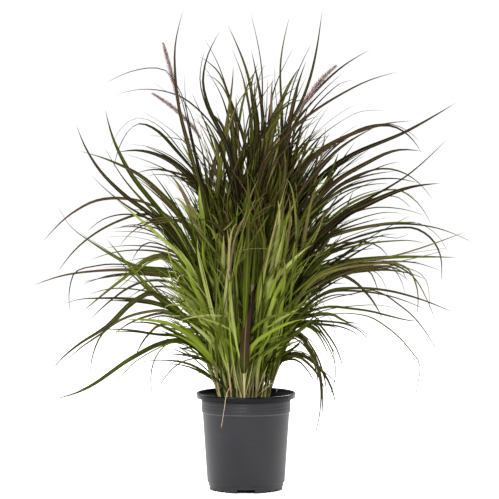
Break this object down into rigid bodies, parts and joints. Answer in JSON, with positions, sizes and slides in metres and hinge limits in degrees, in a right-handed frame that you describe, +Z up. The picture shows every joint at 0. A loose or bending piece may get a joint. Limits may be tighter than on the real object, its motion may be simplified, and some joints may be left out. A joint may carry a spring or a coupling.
{
  "type": "potted fountain grass clump",
  "caption": "Clump of purple fountain grass with arching narrow blades and bristly flower spikes, growing in potting mix in a round black nursery pot with a rolled lip.",
  "frame": {"origin": "centre of the pot's flat underside, on the ground", "axes": "+Z is up through the clump; +X is to the right and -Y towards the viewer in the reference picture"},
  "size_m": [1.0241, 0.7908, 1.0952],
  "materials": {
    "pot": "satin",
    "soil": "rough",
    "grass": "satin",
    "flower_stalk": "satin",
    "flower_spike": "matte"
  },
  "bodies": {
    "root": {"pot": "pot", "soil": "soil", "flower_stalk_1": "flower_stalk", "flower_stalk_2": "flower_stalk", "flower_stalk_3": "flower_stalk", "flower_spike_1": "flower_spike", "flower_spike_2": "flower_spike", "flower_spike_3": "flower_spike", "shoot_01": "grass", "shoot_02": "grass", "shoot_03": "grass", "shoot_04": "grass", "shoot_05": "grass", "shoot_06": "grass", "shoot_07": "grass", "shoot_08": "grass", "shoot_09": "grass", "shoot_10": "grass", "shoot_11": "grass", "shoot_12": "grass", "shoot_13": "grass", "shoot_14": "grass", "shoot_15": "grass", "shoot_16": "grass", "shoot_17": "grass", "shoot_18": "grass", "shoot_19": "grass", "shoot_20": "grass", "shoot_21": "grass", "shoot_22": "grass", "shoot_23": "grass", "shoot_24": "grass", "shoot_25": "grass", "shoot_26": "grass", "shoot_27": "grass", "shoot_28": "grass", "shoot_29": "grass", "shoot_30": "grass", "shoot_31": "grass", "shoot_32": "grass", "shoot_33": "grass", "shoot_34": "grass", "shoot_35": "grass", "shoot_36": "grass", "shoot_37": "grass", "shoot_38": "grass"}
  },
  "joints": []
}
